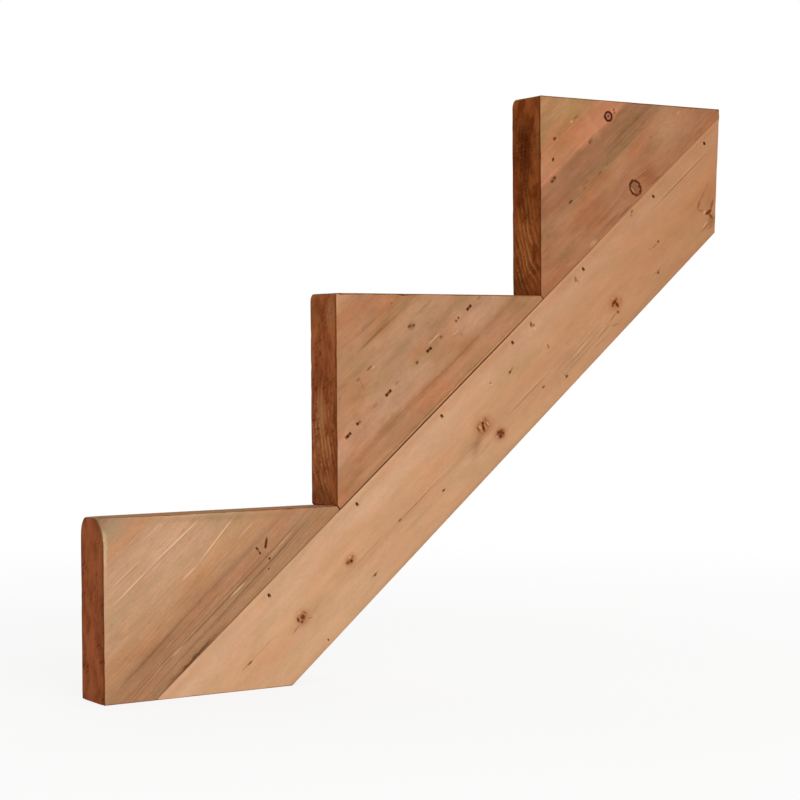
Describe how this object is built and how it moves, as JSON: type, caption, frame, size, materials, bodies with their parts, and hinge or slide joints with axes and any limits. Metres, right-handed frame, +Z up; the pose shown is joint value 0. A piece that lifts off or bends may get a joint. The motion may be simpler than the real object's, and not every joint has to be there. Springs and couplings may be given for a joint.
{
  "type": "stair stringer",
  "caption": "Notched wooden stair stringer with triangular step blocks glued and nailed along the edge of a straight plank, carrying treads and risers of a short stair.",
  "frame": {"origin": "middle of the floor cut, half way through the thickness", "axes": "+X along the run, up the stair; +Y through the thickness, from the near face with the nails to the far face; +Z up"},
  "size_m": [0.673, 0.045, 0.531],
  "materials": {
    "plank_wood": "planed softwood, brown preservative, matt",
    "lower_block_wood": "planed softwood, brown preservative, matt, sawn cuts darker",
    "middle_block_wood": "planed softwood, brown preservative, matt, sawn cuts darker",
    "upper_block_wood": "planed softwood, brown preservative, matt, sawn cuts darker",
    "nail_steel": "dull wire"
  },
  "bodies": {
    "root": {"carriage_plank": "plank_wood", "lower_step_block": "lower_block_wood", "middle_step_block": "middle_block_wood", "upper_step_block": "upper_block_wood", "toe_nails": "nail_steel"}
  },
  "joints": []
}
